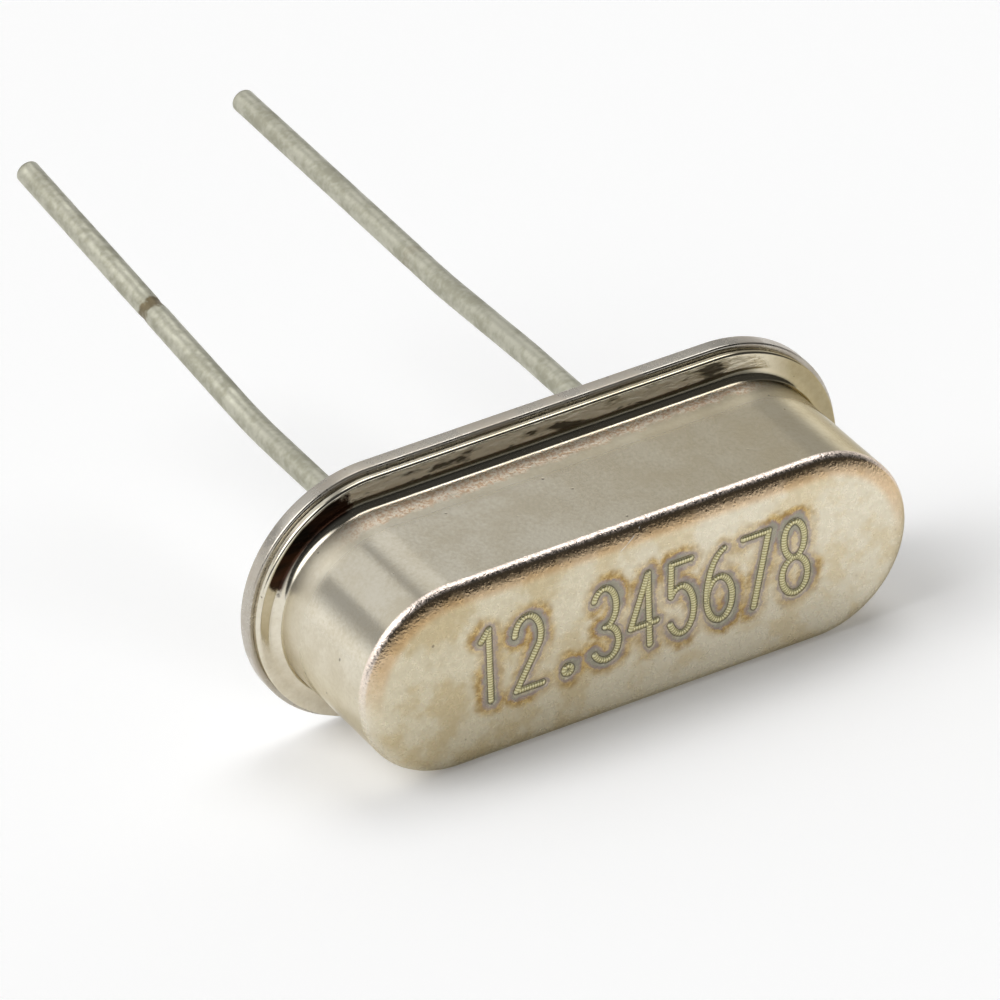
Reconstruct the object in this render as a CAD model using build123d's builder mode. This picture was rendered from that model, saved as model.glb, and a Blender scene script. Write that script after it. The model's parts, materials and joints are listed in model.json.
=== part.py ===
from build123d import *

import math
import os

# A low-profile quartz crystal with two leads, lying on its wide side, as loose parts do.
#
# Row frame in millimetres: the origin is the middle of the base's seating face, midway between the
# leads. +X runs along the can's length, +Z is up, the can's closed end faces -Y and the leads +Y.
# The seating face leans, because the part rests on the rim of its base and on the edge of its can.

# Cover: a can drawn from sheet, with a flange that is welded to the base's flange. From the wall,
# the roof's edge turns on the small corner radius first, and on the large shoulder radius after it.
can_length = 10.16
can_width = 3.46
overall_height = 3.29
cover_thickness = 0.17
roof_corner_radius = 0.15
roof_shoulder_radius = 0.46
roof_corner_turn = 45
inside_corner_radius = 0.10
foot_bend_radius = 0.18
cover_flange_setback = 0.08
cover_flange_edge_radius = 0.05

# Base: a stamped plate with a welding flange, wider than the can, and a raised middle in its mouth
end_flange_width = 0.445
side_flange_width = 0.595
flange_thickness = 0.28
flange_edge_radius = 0.04
plinth_height = 0.60
plinth_clearance = 0.12
plinth_edge_radius = 0.15

# Leads: round wire with a flattened head inside and a solder coat on all that shows
lead_pitch = 4.88
wire_diameter = 0.40
coat_thickness = 0.015
lead_stub_length = 0.18
head_diameter = 0.80
head_thickness = 0.12
tip_chamfer_length = 0.04

# The leads' slight bends. Each bend's place is measured out along the straight wire, from the base
lead_bend_radius = 12.0
left_lead_length = 12.88
left_lead_bend_distance = 5.0
left_lead_tip_lift = 0.88
right_lead_length = 14.18
right_lead_first_bend_distance = 4.4
right_lead_second_bend_distance = 7.2
right_lead_dip = 0.11
right_lead_tip_lift = 0.02

# Glass seals round the leads
seal_diameter = 1.25
glass_dip_depth = 0.05

# Quartz strip, with the room beside it, and the metal films on it
blank_side_clearance = 0.61
blank_thickness = 0.34
blank_corner_length = 0.10
film_thickness = 0.02
film_pad_length = 5.0
film_pad_width = 1.50
film_tail_width = 1.10

# Spring clips that stand on the lead heads and carry the strip
clip_thickness = 0.10
clip_width = 1.30
clip_bend_radius = 0.12
clip_foot_inner_length = 0.45
clip_foot_outer_length = 0.35
clip_rise_height = 0.55
clip_rise_length = 0.35
clip_tab_extra_height = 0.20
clip_end_clearance = 0.74
blank_end_gap = 0.05

# Conductive adhesive between each clip's end tab and the strip. The swell is the share of the dab
# at which its surface is still high.
dab_length = 0.60
dab_height = 0.15
dab_width = 0.90
dab_swell = 0.35

SIDES = {"left": -1, "right": 1}

# Sizes that follow from those above
flange_length = can_length + 2 * end_flange_width
flange_width = can_width + 2 * side_flange_width
cover_flange_length = flange_length - 2 * cover_flange_setback
cover_flange_width = flange_width - 2 * cover_flange_setback
coated_diameter = wire_diameter + 2 * coat_thickness
plinth_top = flange_thickness + plinth_height
mouth_length = can_length - 2 * cover_thickness
mouth_width = can_width - 2 * cover_thickness
roof_edge_depth = roof_corner_radius * math.sin(math.radians(roof_corner_turn)) + (
    roof_shoulder_radius * (1 - math.sin(math.radians(roof_corner_turn)))
)
head_bottom = plinth_top + lead_stub_length
head_top = head_bottom + head_thickness
shelf_top = head_top + clip_rise_height + clip_thickness
shelf_start = lead_pitch / 2 + clip_foot_outer_length + clip_rise_length
blank_bottom = shelf_top + film_thickness
blank_middle = blank_bottom + blank_thickness / 2
blank_top = blank_bottom + blank_thickness
tab_outside = mouth_length / 2 - clip_end_clearance
tab_inside = tab_outside - clip_thickness
blank_length = 2 * (tab_inside - blank_end_gap - film_thickness)
blank_width = mouth_width - 2 * blank_side_clearance

# Each lead's corners after the base: distance out along the straight wire, and rise above it
left_lead_corners = (
    (left_lead_bend_distance, 0),
    (left_lead_length, left_lead_tip_lift),
)
right_lead_corners = (
    (right_lead_first_bend_distance, 0),
    (right_lead_second_bend_distance, -right_lead_dip),
    (right_lead_length, right_lead_tip_lift),
)

# The part rests on two rounded edges, the base's rim and the corner of the cover's roof. Each is
# given by its centre, across the can and above the seating face, and its radius. The lean is the
# angle at which a flat surface touches both: across * cos + rise * sin = difference of the radii.
rim_centre_across = flange_width / 2 - flange_edge_radius
rim_centre_height = flange_thickness - flange_edge_radius
roof_centre_across = can_width / 2 - roof_corner_radius
roof_centre_height = overall_height - roof_edge_depth
across = rim_centre_across - roof_centre_across
rise = roof_centre_height - rim_centre_height
radius_difference = roof_corner_radius - flange_edge_radius
lean = math.atan2(across, rise) - math.asin(radius_difference / math.hypot(across, rise))

# Directions out of the can's roof, along its length and across it, and the seating face's own plane
roofward = Vector(0, -math.cos(lean), -math.sin(lean))
lengthward = Vector(1, 0, 0)
upward = roofward.cross(lengthward)
seat = Plane(origin=(0, 0, 0), x_dir=lengthward, z_dir=roofward)
height = Axis(seat.origin, roofward)


def save(piece, name):
    """Labels a finished piece and writes it under its node's name."""
    piece.label = name
    export_step(piece, f"parts/{name}.step")


def lead_plane(side):
    """The upright plane through one lead's wire: x runs out of the base, y across the can, upwards."""
    root = seat.origin + lengthward * (side * lead_pitch / 2)
    return Plane(origin=root, x_dir=-roofward, z_dir=lengthward)


def wire_plane(side, level):
    """A plane square to one lead's wire, level above the seating face, which looks at the roof."""
    root = seat.origin + lengthward * (side * lead_pitch / 2)
    return Plane(origin=root + roofward * level, x_dir=lengthward, z_dir=roofward)


def end_plane(outward, facing, level):
    """A plane along the middle of the can: x runs towards one end, y along facing, level above the seat."""
    return Plane(origin=seat.origin + roofward * level, x_dir=outward, z_dir=outward.cross(facing))


def make_base():
    """The stamped plate: flange, raised middle and the two holes for the glass."""
    with BuildPart() as base:
        with BuildSketch(seat):
            SlotOverall(flange_length, flange_width)
        extrude(amount=flange_thickness)
        fillet(base.edges().filter_by(height, reverse=True), radius=flange_edge_radius)
        with BuildSketch(seat.offset(flange_thickness)):
            SlotOverall(mouth_length - 2 * plinth_clearance, mouth_width - 2 * plinth_clearance)
        extrude(amount=plinth_height)
        fillet(base.faces().filter_by(height).sort_by(height)[-1].edges(), radius=plinth_edge_radius)
        with BuildSketch(seat):
            with GridLocations(lead_pitch, 0, 2, 1):
                Circle(seal_diameter / 2)
        extrude(amount=plinth_top, mode=Mode.SUBTRACT)
    save(base.part, "base")


def make_cover():
    """The drawn can: a roof with a rounded edge, walls, a rounded foot and the flat welding flange.

    The can's half section is drawn once, from the middle line to the wall. It is carried straight
    along the can and half a circle round one end, and a half turn of the result gives the rest.
    """
    straight_length = can_length - can_width
    end_centre = seat.origin + lengthward * (straight_length / 2)
    with BuildPart() as cover:
        with BuildSketch(Plane(origin=end_centre, x_dir=upward, z_dir=lengthward)) as half_section:
            with BuildLine():
                wall = Line(
                    (can_width / 2, flange_thickness),
                    (can_width / 2, overall_height - roof_edge_depth),
                )
                corner = JernArc(wall @ 1, wall % 1, roof_corner_radius, roof_corner_turn)
                shoulder = JernArc(corner @ 1, corner % 1, roof_shoulder_radius, 90 - roof_corner_turn)
                Polyline(shoulder @ 1, (0, overall_height), (0, flange_thickness), wall @ 0)
            make_face()
        extrude(amount=-straight_length)
        revolve(half_section.sketch, axis=Axis(end_centre, -roofward), revolution_arc=180)
        add(cover.part.rotate(height, 180))
        with BuildSketch(seat.offset(flange_thickness)):
            SlotOverall(cover_flange_length, cover_flange_width)
        extrude(amount=cover_thickness)
        shoulder = cover.faces().filter_by(height).sort_by(height)[1]
        fillet(shoulder.outer_wire().edges(), radius=cover_flange_edge_radius)
        shoulder = cover.faces().filter_by(height).sort_by(height)[1]
        fillet(shoulder.inner_wires()[0].edges(), radius=foot_bend_radius)
        with BuildSketch(seat.offset(flange_thickness)):
            SlotOverall(mouth_length, mouth_width)
        extrude(amount=overall_height - flange_thickness - cover_thickness, mode=Mode.SUBTRACT)
        underside = cover.faces().filter_by(height).sort_by(height)[0]
        fillet(underside.inner_wires()[0].edges(), radius=foot_bend_radius + cover_thickness)
        ceiling = cover.faces().filter_by(height).sort_by(height)[-2]
        fillet(ceiling.edges(), radius=inside_corner_radius)
    save(cover.part, "cover")


def make_glass_seal(name, side):
    """One glass bead: it fills its hole and dips between the metal and the wire at both ends."""
    plane = lead_plane(side)
    inner = wire_diameter / 2
    outer = seal_diameter / 2
    middle = (inner + outer) / 2
    with BuildPart() as seal:
        with BuildSketch(plane):
            with BuildLine():
                ThreePointArc((0, inner), (-glass_dip_depth, middle), (0, outer))
                Line((0, outer), (-plinth_top, outer))
                ThreePointArc(
                    (-plinth_top, outer),
                    (glass_dip_depth - plinth_top, middle),
                    (-plinth_top, inner),
                )
                Line((-plinth_top, inner), (0, inner))
            make_face()
        revolve(axis=Axis(plane.origin, plane.x_dir))
    save(seal.part, f"glass_seal_{name}")


def make_lead(name, side, corners):
    """One lead: coated wire outside with its slight bends, bare wire in the glass, flat head inside."""
    with BuildPart() as lead:
        with BuildLine(lead_plane(side)) as route:
            FilletPolyline((0, 0), *corners, radius=lead_bend_radius)
        with BuildSketch(Plane(origin=route.line @ 0, z_dir=route.line % 0)):
            Circle(coated_diameter / 2)
        sweep(path=route.line)
        chamfer(lead.edges().filter_by(GeomType.CIRCLE).sort_by(height)[0], length=tip_chamfer_length)
        with BuildSketch(wire_plane(side, 0)):
            Circle(wire_diameter / 2)
        extrude(amount=head_bottom)
        with BuildSketch(wire_plane(side, head_bottom)):
            Circle(head_diameter / 2)
        extrude(amount=head_thickness)
    save(lead.part, f"lead_{name}")


def make_clip(name, side):
    """One clip: a strip of sheet that lies on the lead's head, steps up to a shelf and ends in a tab."""
    foot = lead_pitch / 2
    shelf_under = shelf_top - clip_thickness
    with BuildPart() as clip:
        with BuildSketch(end_plane(lengthward * side, roofward, 0)):
            with BuildLine():
                strip = FilletPolyline(
                    (foot - clip_foot_inner_length, head_top),
                    (foot + clip_foot_outer_length, head_top),
                    (shelf_start, shelf_under),
                    (tab_outside, shelf_under),
                    (tab_outside, blank_top + clip_tab_extra_height),
                    radius=clip_bend_radius,
                )
                offset(strip, amount=clip_thickness, side=Side.LEFT)
            make_face()
        extrude(amount=clip_width / 2, both=True)
    save(clip.part, f"clip_{name}")


def make_quartz_blank():
    """The quartz strip, with its four corners ground off."""
    with BuildPart() as blank:
        with BuildSketch(seat.offset(blank_bottom)):
            Rectangle(blank_length, blank_width)
        extrude(amount=blank_thickness)
        chamfer(blank.edges().filter_by(height), length=blank_corner_length)
    save(blank.part, "quartz_blank")


def make_electrode(name, outward, facing):
    """One film: a pad on the face that looks along facing, with a tail led round the end at outward."""
    half = blank_thickness / 2
    with BuildPart() as film:
        with BuildSketch(end_plane(outward, facing, blank_middle)):
            with BuildLine():
                skin = Polyline(
                    (0, half),
                    (blank_length / 2, half),
                    (blank_length / 2, -half),
                    (shelf_start, -half),
                )
                offset(skin, amount=film_thickness, side=Side.LEFT, kind=Kind.INTERSECTION)
            make_face()
        extrude(amount=film_tail_width / 2, both=True)
        pad_centre = seat.origin + roofward * blank_middle + facing * half
        with BuildSketch(Plane(origin=pad_centre, x_dir=outward, z_dir=facing)):
            Rectangle(film_pad_length, film_pad_width)
        extrude(amount=film_thickness)
    save(film.part, f"electrode_{name}")


def make_adhesive(name, side):
    """One dab: a fillet of adhesive in the corner between the clip's tab and the coated strip."""
    dab_tip = tab_inside - dab_length
    with BuildPart() as dab:
        with BuildSketch(end_plane(lengthward * side, roofward, blank_top + film_thickness)):
            with BuildLine():
                Polyline((tab_inside, dab_height), (tab_inside, 0), (dab_tip, 0))
                ThreePointArc(
                    (dab_tip, 0),
                    (tab_inside - dab_length * dab_swell, dab_height * (1 - dab_swell / 2)),
                    (tab_inside, dab_height),
                )
            make_face()
        extrude(amount=dab_width / 2, both=True)
    save(dab.part, f"adhesive_{name}")


os.makedirs("parts", exist_ok=True)
make_base()
make_cover()
for side_name, side_sign in SIDES.items():
    make_glass_seal(side_name, side_sign)
    make_clip(side_name, side_sign)
    make_adhesive(side_name, side_sign)
make_lead("left", SIDES["left"], left_lead_corners)
make_lead("right", SIDES["right"], right_lead_corners)
make_quartz_blank()
make_electrode("upper", -lengthward, roofward)
make_electrode("lower", lengthward, -roofward)
print("lean", round(math.degrees(lean), 3), "degrees")
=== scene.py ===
"""A crystal resonator in a drawn metal can with two wire leads, dressed over its CAD solids.

The part lies on its side on a pale floor. Its own axes are used all through: along the can (u),
across it (v, upwards as it lies) and from the seating face to the roof (w), in millimetres. Seat
turns them into the shared frame, in metres.
"""

import json
import logging
import math
from dataclasses import dataclass, field
from enum import Enum
from functools import reduce

import bmesh
import bpy
import numpy as np
from bpy.types import Material, Node, NodeSocket, NodeTree, Object
from mathutils import Matrix, Vector


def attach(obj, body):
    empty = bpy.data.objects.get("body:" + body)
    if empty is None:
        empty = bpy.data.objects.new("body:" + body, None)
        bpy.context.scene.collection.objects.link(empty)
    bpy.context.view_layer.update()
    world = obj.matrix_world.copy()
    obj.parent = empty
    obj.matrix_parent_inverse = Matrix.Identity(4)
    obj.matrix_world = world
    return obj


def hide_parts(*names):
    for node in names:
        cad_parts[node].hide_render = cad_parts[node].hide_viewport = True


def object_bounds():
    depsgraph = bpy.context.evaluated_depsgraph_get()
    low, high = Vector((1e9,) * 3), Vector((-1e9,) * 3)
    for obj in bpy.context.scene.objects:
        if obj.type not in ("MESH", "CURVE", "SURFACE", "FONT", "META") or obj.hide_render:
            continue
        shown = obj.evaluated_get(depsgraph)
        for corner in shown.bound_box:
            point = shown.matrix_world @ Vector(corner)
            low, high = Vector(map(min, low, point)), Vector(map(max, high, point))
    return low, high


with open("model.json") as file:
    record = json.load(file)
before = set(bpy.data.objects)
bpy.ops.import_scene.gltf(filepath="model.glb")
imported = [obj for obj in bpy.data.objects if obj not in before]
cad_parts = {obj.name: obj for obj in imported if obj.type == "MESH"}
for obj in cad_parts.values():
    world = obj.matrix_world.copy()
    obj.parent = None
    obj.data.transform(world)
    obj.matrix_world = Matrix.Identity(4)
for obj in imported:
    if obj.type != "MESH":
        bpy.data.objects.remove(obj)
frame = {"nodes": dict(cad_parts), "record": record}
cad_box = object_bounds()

Pair = tuple[float, float]
Triple = tuple[float, float, float]

MM = 0.001
SIDE_COLUMNS = 72  # points along each straight side of the can
END_COLUMNS = 96  # points round each of its ends
SEAM_TURN = 0.1234  # radians, so that no point lies on the seam of the angles
FAR_FROM_MARK = 0.6  # the greatest distance measured from the number
LEAD_OFFSET = 2.44  # from the middle to each lead
BARE_RADIUS = 0.2  # of the wire without its coat
HOLE_RADIUS = 0.625
PLINTH_TOP = 0.88
PIT_CELLS = 3.4  # pits to the millimetre, before some are dropped
PIT_RADIUS = 0.085  # of the largest pit, as a share of a cell
PIT_DEPTH = 0.6
PIT_TINT = (0.10, 0.08, 0.06)

log = logging.getLogger("resonator")


# Directions and places


@dataclass(frozen=True)
class Seat:
    """How the part lies: the angle by which its roof leans below the upright."""

    lean: float

    @classmethod
    def from_record(cls, record: dict) -> "Seat":
        """Reads the lean from the seating face's direction.

        Args:
            record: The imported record.

        Returns:
            The seat.
        """
        axis = next(m["axis"] for m in record["mounts"] if m["name"] == "seat")
        return cls(math.atan2(axis[2], axis[1]))

    def axes(self) -> np.ndarray:
        """Unit vectors along u, v and w, one row each, in the shared frame."""
        s, c = math.sin(self.lean), math.cos(self.lean)
        return np.array([(1.0, 0.0, 0.0), (0.0, -s, c), (0.0, -c, -s)])

    def place(self, points: np.ndarray) -> np.ndarray:
        """Points given as (u, v, w) in millimetres, in the shared frame in metres."""
        return points @ self.axes() * MM


SEAT = Seat.from_record(frame["record"])


# Profiles and surfaces


def line(start: Pair, end: Pair, steps: int) -> np.ndarray:
    """Points on a straight run: start + (end - start) * t, t from 0 to 1.

    Args:
        start: The first point, across and up.
        end: The last point.
        steps: How many equal steps.

    Returns:
        The points, one row each.
    """
    t = np.linspace(0, 1, steps + 1)[:, None]
    return np.array(start) + (np.array(end) - np.array(start)) * t


def arc(
    centre: Pair,
    radius: float | Pair,
    start: float,
    end: float,
    steps: int,
) -> np.ndarray:
    """Points on an arc: centre + radius * (cos a, sin a), a from start to end in degrees.

    Args:
        centre: The arc's centre.
        radius: Its radius, or the two half axes of an ellipse.
        start: The first angle.
        end: The last angle.
        steps: How many equal steps.

    Returns:
        The points, one row each.
    """
    a = np.radians(np.linspace(start, end, steps + 1))
    return np.array(centre) + np.stack([np.cos(a), np.sin(a)], 1) * radius


def joined(*runs: np.ndarray) -> np.ndarray:
    """Puts runs of points one after another, without points that repeat the one before.

    Args:
        runs: The runs, whose first two columns are compared.

    Returns:
        The points, one row each.
    """
    points = np.concatenate(runs)
    keep = np.r_[True, np.linalg.norm(np.diff(points[:, :2], axis=0), axis=1) > 1e-7]
    return points[keep]


def with_straight(profile: np.ndarray, half_straight: float | np.ndarray) -> np.ndarray:
    """Adds to each point of a profile the half length of the stadium's straight side there."""
    return np.c_[profile, np.broadcast_to(half_straight, len(profile))]


def flat_band(start: Pair, end: Pair, level: float, steps: int) -> np.ndarray:
    """A level run of a section, on which radius and half straight length both change evenly.

    Args:
        start: The radius and half straight length that it starts from.
        end: Those that it ends at.
        level: Its level.
        steps: How many equal steps.

    Returns:
        Rows of radius, level and half straight length.
    """
    return np.insert(line(start, end, steps), 1, level, axis=1)


def run_lengths(points: np.ndarray) -> np.ndarray:
    """Distance from the first point along a run to each of its points."""
    return np.r_[0, np.cumsum(np.linalg.norm(np.diff(points, axis=0), axis=1))]


def stadium() -> tuple[np.ndarray, np.ndarray]:
    """Columns round a stadium: straight side, end arc, straight side, end arc.

    The outline of a stadium of half straight length h and radius r is (h * c + r * nx, r * ny).

    Returns:
        The numbers c, and the outward directions (nx, ny).
    """
    side = np.linspace(-1, 1, SIDE_COLUMNS, endpoint=False)
    turn = np.radians(np.linspace(90, -90, END_COLUMNS, endpoint=False))
    up = np.tile((0.0, 1.0), (SIDE_COLUMNS, 1))
    right = np.stack([np.cos(turn), np.sin(turn)], 1)
    ends = np.concatenate([side, np.ones(END_COLUMNS), -side, -np.ones(END_COLUMNS)])
    return ends, np.concatenate([up, right, -up, -right])


def ring_surface(profile: np.ndarray) -> np.ndarray:
    """Carries a profile round a stadium.

    S(t, s) = (h(t) * c(s) + r(t) * nx(s), r(t) * ny(s), w(t)), where a row of the profile is
    (r, w, h) and c, nx and ny come from stadium().

    Args:
        profile: Rows of radius, level and half straight length.

    Returns:
        The points (u, v, w), rows by columns by 3.
    """
    ends, out = stadium()
    r, w, h = profile.T
    u = h[:, None] * ends + r[:, None] * out[:, 0]
    v = r[:, None] * out[:, 1]
    return np.stack([u, v, np.broadcast_to(w[:, None], u.shape)], 2)


def grid_faces(
    rows: int, columns: int, start: int = 0, around: bool = True, closed: bool = False
) -> np.ndarray:
    """Four-sided faces of a grid whose points are numbered row by row.

    Args:
        rows: How many rows.
        columns: How many columns.
        start: The number of the first point.
        around: Whether the last column meets the first.
        closed: Whether the last row meets the first.

    Returns:
        The faces' point numbers.
    """
    i = np.arange(rows if closed else rows - 1)[:, None]
    j = np.arange(columns if around else columns - 1)[None, :]
    i2, j2 = (i + 1) % rows, (j + 1) % columns
    corners = [i * columns + j, i2 * columns + j, i2 * columns + j2, i * columns + j2]
    return start + np.stack(np.broadcast_arrays(*corners), 2).reshape(-1, 4)


def zip_loops(
    outer: np.ndarray, inner: np.ndarray, points: np.ndarray, centre: Pair
) -> np.ndarray:
    """Fills the flat band between two closed loops that both go once round a centre.

    Both loops are taken in the order of their angle at the centre. Each edge of one loop then gets
    the point of the other loop whose angle comes last before the edge's end.

    Args:
        outer: Point numbers of one loop.
        inner: Point numbers of the other loop.
        points: All points (u, v, w).
        centre: The centre (u, v).

    Returns:
        The triangles' point numbers.
    """

    def turned(loop: np.ndarray) -> tuple[np.ndarray, np.ndarray]:
        """The loop and its angles, from the least angle on.

        Args:
            loop: Point numbers.

        Returns:
            The point numbers and the angles, both in the order of the angles.
        """
        at = points[loop, :2] - np.array(centre)
        angle = np.mod(np.arctan2(at[:, 1], at[:, 0]) + SEAM_TURN, 2 * np.pi)
        order = np.argsort(angle, kind="stable")
        return loop[order], angle[order]

    a, at_a = turned(outer)
    b, at_b = turned(inner)
    next_a = np.r_[at_a[1:], at_a[0] + 2 * np.pi]
    next_b = np.r_[at_b[1:], at_b[0] + 2 * np.pi]
    last_b = np.searchsorted(np.r_[at_b, next_b[-1]], next_a, "left") - 1
    last_a = np.searchsorted(np.r_[at_a, next_a[-1]], next_b, "right") - 1
    on_a = np.stack([a, np.roll(a, -1), b[last_b % len(b)]], 1)
    on_b = np.stack([np.roll(b, -1), b, a[last_a % len(a)]], 1)
    return np.concatenate([on_a, on_b])


def tube(
    side: int, route: np.ndarray, across: np.ndarray, radii: np.ndarray, columns: int
) -> np.ndarray:
    """Carries a circle of changing radius along a route in the plane of one lead.

    S(t, a) = P(t) + r(t) * (cos a * U + sin a * N(t)), where U points along the can and N is
    square to the route.

    Args:
        side: 1 for the right lead, -1 for the left one.
        route: Points P (out of the base, across).
        across: The directions N at these points.
        radii: The radii r there.
        columns: How many points go round.

    Returns:
        The points (u, v, w), rows by columns by 3.
    """
    turn = np.linspace(0, 2 * np.pi, columns, endpoint=False)
    r = radii[:, None]
    u = side * LEAD_OFFSET + r * np.cos(turn)
    out, v = (route[:, i, None] + r * np.sin(turn) * across[:, i, None] for i in (0, 1))
    return np.stack([u, v, -out], 2)


def linked(name: str, data: bpy.types.ID) -> Object:
    """Puts data into the scene as a new object.

    Args:
        name: The object's name.
        data: Its mesh or camera.

    Returns:
        The object.
    """
    thing = bpy.data.objects.new(name, data)
    bpy.context.scene.collection.objects.link(thing)
    return thing


def make_piece(
    name: str,
    points: np.ndarray,
    faces: list[np.ndarray],
    values: dict[str, np.ndarray] | None = None,
) -> Object:
    """Makes a closed, smooth piece at its place, with every face pointing outwards.

    Args:
        name: The piece's name.
        points: Its points (u, v, w) in millimetres.
        faces: Arrays of point numbers, each with faces of one number of corners.
        values: Named numbers for each point, kept as attributes.

    Returns:
        The new object.
    """
    mesh = bpy.data.meshes.new(name)
    sizes = np.concatenate([np.full(len(f), f.shape[1]) for f in faces])
    corners = np.concatenate([f.ravel() for f in faces])
    mesh.vertices.add(len(points))
    mesh.vertices.foreach_set("co", SEAT.place(points).astype(np.float32).ravel())
    mesh.loops.add(len(corners))
    mesh.loops.foreach_set("vertex_index", corners.astype(np.int32))
    mesh.polygons.add(len(sizes))
    mesh.polygons.foreach_set("loop_start", np.r_[0, np.cumsum(sizes)[:-1]].astype(np.int32))
    mesh.update(calc_edges=True)
    mesh.validate()
    for label, numbers in {"seat_place": points, **(values or {})}.items():
        flat = numbers.ndim == 1
        kind = "FLOAT" if flat else "FLOAT_VECTOR"
        layer = mesh.attributes.new(label, kind, "POINT")
        layer.data.foreach_set("value" if flat else "vector", numbers.astype(np.float32).ravel())
    shell = bmesh.new()
    shell.from_mesh(mesh)
    bmesh.ops.recalc_face_normals(shell, faces=shell.faces[:])
    shell.to_mesh(mesh)
    shell.free()
    mesh.polygons.foreach_set("use_smooth", np.ones(len(mesh.polygons), dtype=bool))
    return linked(name, mesh)


# Shader building


class Steps:
    """Puts nodes into one node tree, so that a shader reads as a list of steps."""

    def __init__(self, tree: NodeTree) -> None:
        """Takes the tree that the nodes go into."""
        self.tree = tree

    def feed(self, socket: NodeSocket, value: object) -> None:
        """Links a socket to another one, or sets its value.

        Args:
            socket: The socket to feed.
            value: A socket, a value, or three numbers for an opaque colour.
        """
        if isinstance(value, NodeSocket):
            self.tree.links.new(value, socket)
        else:
            opaque = socket.type == "RGBA" and len(value) == 3
            socket.default_value = (*value, 1.0) if opaque else value

    def add(self, kind: str, given: dict | None = None, **settings: object) -> Node:
        """Adds one node.

        Args:
            kind: Its type.
            given: What feeds its inputs, by their names or numbers.
            settings: Its properties, which are set first.

        Returns:
            The node.
        """
        node = self.tree.nodes.new(kind)
        for name, value in settings.items():
            setattr(node, name, value)
        for key, value in (given or {}).items():
            self.feed(node.inputs[key], value)
        return node

    def maths(self, operation: str, *values: object, clamp: bool = False) -> NodeSocket:
        """One sum on numbers."""
        given = dict(enumerate(values))
        return self.add("ShaderNodeMath", given, operation=operation, use_clamp=clamp).outputs[0]

    def vectors(self, operation: str, *values: object) -> NodeSocket:
        """One sum on vectors, whose answer is a number for the sums in NUMBER_SUMS."""
        node = self.add("ShaderNodeVectorMath", dict(enumerate(values)), operation=operation)
        return node.outputs[int(operation in NUMBER_SUMS)]

    def scaled(self, vector: object, share: object) -> NodeSocket:
        """A vector times a number."""
        given = {0: vector, "Scale": share}
        return self.add("ShaderNodeVectorMath", given, operation="SCALE").outputs[0]

    def blend(self, factor: object, first: object, second: object, way: str = "MIX") -> NodeSocket:
        """Two colours mixed by a factor."""
        given = {0: factor, 6: first, 7: second}
        return self.add("ShaderNodeMix", given, data_type="RGBA", blend_type=way).outputs[2]

    def between(self, factor: object, first: object, second: object) -> NodeSocket:
        """Two numbers mixed by a factor."""
        given = {0: factor, 2: first, 3: second}
        return self.add("ShaderNodeMix", given, data_type="FLOAT").outputs[0]

    def times(self, *values: object) -> NodeSocket:
        """The product of two or more numbers."""
        return reduce(lambda first, second: self.maths("MULTIPLY", first, second), values)

    def plus(self, base: object, value: object, share: object) -> NodeSocket:
        """base + value * share."""
        return self.maths("MULTIPLY_ADD", value, share, base)

    def centred(self, noise: object) -> NodeSocket:
        """Noise moved so that it swings about 0."""
        return self.maths("SUBTRACT", noise, 0.5)

    def split(self, vector: object) -> bpy.types.bpy_prop_collection:
        """The three numbers of a vector."""
        return self.add("ShaderNodeSeparateXYZ", {0: vector}).outputs

    def span(
        self, value: object, low: float, high: float, first: float = 0.0, last: float = 1.0
    ) -> NodeSocket:
        """A smooth step: first up to low, last from high on. Low may be the greater one."""
        kind, given = "ShaderNodeMapRange", dict(enumerate((value, low, high, first, last)))
        return self.add(kind, given, interpolation_type="SMOOTHSTEP", clamp=True).outputs[0]

    def window(self, value: object, low: Pair, high: Pair) -> NodeSocket:
        """1 in a window: rises over the span low, and falls again over the span high."""
        return self.times(self.span(value, *low), self.span(value, *reversed(high)))

    def noise(
        self, place: object, scale: object, detail: float = 2.0, rough: float = 0.5
    ) -> NodeSocket:
        """Soft noise about 0.5, with scale bumps to the unit."""
        given = {"Vector": place, "Scale": scale, "Detail": detail, "Roughness": rough}
        return self.add("ShaderNodeTexNoise", given).outputs[0]

    def value_of(self, label: str, output: str = "Fac") -> NodeSocket:
        """A named attribute of the mesh."""
        return self.add("ShaderNodeAttribute", attribute_name=label).outputs[output]

    def group(self, tree: NodeTree, **values: object) -> bpy.types.bpy_prop_collection:
        """Places a node group, feeds its inputs by name, and gives its outputs."""
        return self.add("ShaderNodeGroup", values, node_tree=tree).outputs


def new_group(name: str, inputs: dict[str, str], outputs: dict[str, str]) -> tuple:
    """Starts a shader node group.

    Args:
        name: The group's name.
        inputs: For each input its socket kind.
        outputs: For each output its socket kind.

    Returns:
        The group, its steps, its inputs as sockets to read and its outputs as sockets to feed.
    """
    tree = bpy.data.node_groups.new(name, "ShaderNodeTree")
    for way, sockets in (("INPUT", inputs), ("OUTPUT", outputs)):
        for label, kind in sockets.items():
            tree.interface.new_socket(label, in_out=way, socket_type=kind)
    steps = Steps(tree)
    given = steps.add("NodeGroupInput").outputs
    return tree, steps, given, steps.add("NodeGroupOutput").inputs


NUMBER_SUMS = ("DOT_PRODUCT", "LENGTH", "DISTANCE")
NUMBER, COLOUR, VECTOR = "NodeSocketFloat", "NodeSocketColor", "NodeSocketVector"
PLATING_NUMBERS = "smooth rough grain_scale grain_depth blotch_scale blotch_depth pits".split()
PLATING_INPUTS = {"bright": COLOUR, "dull": COLOUR, **dict.fromkeys(PLATING_NUMBERS, NUMBER)}


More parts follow.
